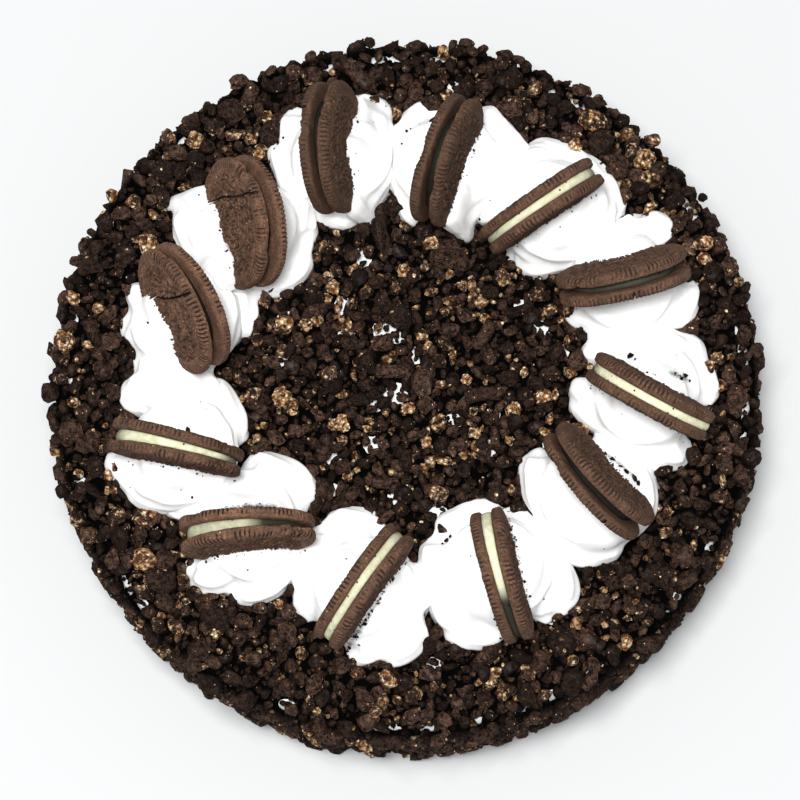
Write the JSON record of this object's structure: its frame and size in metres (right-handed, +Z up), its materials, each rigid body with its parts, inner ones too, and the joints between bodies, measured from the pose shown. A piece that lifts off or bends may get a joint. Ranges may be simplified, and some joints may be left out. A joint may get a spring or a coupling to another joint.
{
  "type": "cookies and cream cake",
  "caption": "Tall round cream cake coated in dark cookie crumbs, with a ring of piped cream rosettes on top, each holding a sandwich cookie on edge.",
  "frame": {"origin": "middle of the cake's flat base, on the surface it stands on", "axes": "+Z is up, and -Y is the side nearest the viewer of the picture, with +X to their right"},
  "size_m": [0.2446, 0.2448, 0.1135],
  "materials": {
    "crumb_coat": "dark brown, nearly black, broken cookie crumbs with tan ones between, white cream in the gaps",
    "whipped_cream": "smooth white piped cream with a soft sheen",
    "cookie_wafer": "matt dark chocolate wafer, embossed face, ridged rim",
    "cookie_filling": "pale, faintly greenish white cream filling"
  },
  "bodies": {
    "root": {"cake": "crumb_coat", "cookie_01_wafer_front": "cookie_wafer", "cookie_01_wafer_back": "cookie_wafer", "cookie_01_filling": "cookie_filling", "cookie_02_wafer_front": "cookie_wafer", "cookie_02_wafer_back": "cookie_wafer", "cookie_02_filling": "cookie_filling", "cookie_03_wafer_front": "cookie_wafer", "cookie_03_wafer_back": "cookie_wafer", "cookie_03_filling": "cookie_filling", "cookie_04_wafer_front": "cookie_wafer", "cookie_04_wafer_back": "cookie_wafer", "cookie_04_filling": "cookie_filling", "cookie_05_wafer_front": "cookie_wafer", "cookie_05_wafer_back": "cookie_wafer", "cookie_05_filling": "cookie_filling", "cookie_06_wafer_front": "cookie_wafer", "cookie_06_wafer_back": "cookie_wafer", "cookie_06_filling": "cookie_filling", "cookie_07_wafer_front": "cookie_wafer", "cookie_07_wafer_back": "cookie_wafer", "cookie_07_filling": "cookie_filling", "cookie_08_wafer_front": "cookie_wafer", "cookie_08_wafer_back": "cookie_wafer", "cookie_08_filling": "cookie_filling", "cookie_09_wafer_front": "cookie_wafer", "cookie_09_wafer_back": "cookie_wafer", "cookie_09_filling": "cookie_filling", "cookie_10_wafer_front": "cookie_wafer", "cookie_10_wafer_back": "cookie_wafer", "cookie_10_filling": "cookie_filling", "cookie_11_wafer_front": "cookie_wafer", "cookie_11_wafer_back": "cookie_wafer", "cookie_11_filling": "cookie_filling", "cookie_12_wafer_front": "cookie_wafer", "cookie_12_wafer_back": "cookie_wafer", "cookie_12_filling": "cookie_filling", "rosette_01": "whipped_cream", "rosette_02": "whipped_cream", "rosette_03": "whipped_cream", "rosette_04": "whipped_cream", "rosette_05": "whipped_cream", "rosette_06": "whipped_cream", "rosette_07": "whipped_cream", "rosette_08": "whipped_cream", "rosette_09": "whipped_cream", "rosette_10": "whipped_cream", "rosette_11": "whipped_cream", "rosette_12": "whipped_cream"}
  },
  "joints": []
}
